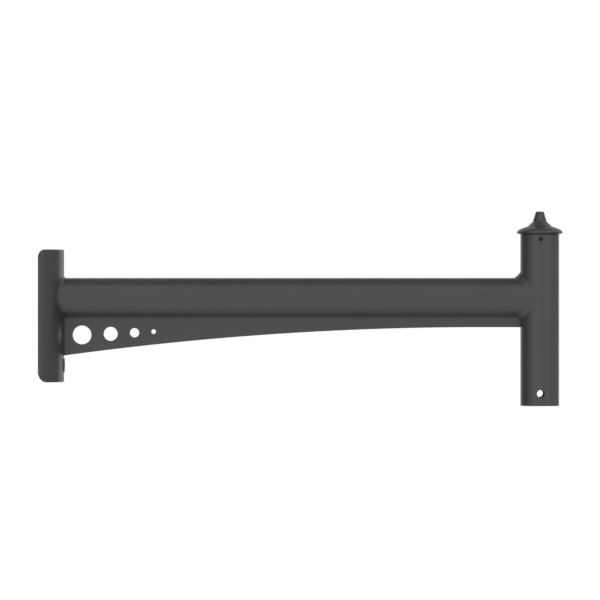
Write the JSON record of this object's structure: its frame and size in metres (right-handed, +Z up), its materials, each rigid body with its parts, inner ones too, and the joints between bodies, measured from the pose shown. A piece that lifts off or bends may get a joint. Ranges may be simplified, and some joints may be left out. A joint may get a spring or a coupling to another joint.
{
  "type": "pole mounting bracket",
  "caption": "Dark grey steel bracket for a street lamp: rolled pole saddle, tube arm with a tapering web below, and a short upright tube with a turned finial.",
  "frame": {"origin": "on the axis of the pole that the saddle fits, at the height of the arm's axis", "axes": "+X along the arm, away from the pole; +Z up, along the pole; the web and the lantern tube lie in the plane Y = 0"},
  "size_m": [0.8117, 0.1124, 0.3011],
  "materials": {
    "powder_coat": "semi-matt dark grey powder coat",
    "blackened_steel": "oil-blackened"
  },
  "bodies": {
    "root": {"saddle_plate": "powder_coat", "threaded_bush": "powder_coat", "arm_tube": "powder_coat", "web_plate": "powder_coat", "lantern_tube": "powder_coat", "finial_cap": "powder_coat", "finial_set_screw": "blackened_steel", "weld_arm_to_saddle": "powder_coat", "weld_arm_to_lantern_tube": "powder_coat", "weld_web_to_arm": "powder_coat", "weld_web_to_saddle": "powder_coat", "weld_web_to_lantern_tube": "powder_coat"}
  },
  "joints": []
}
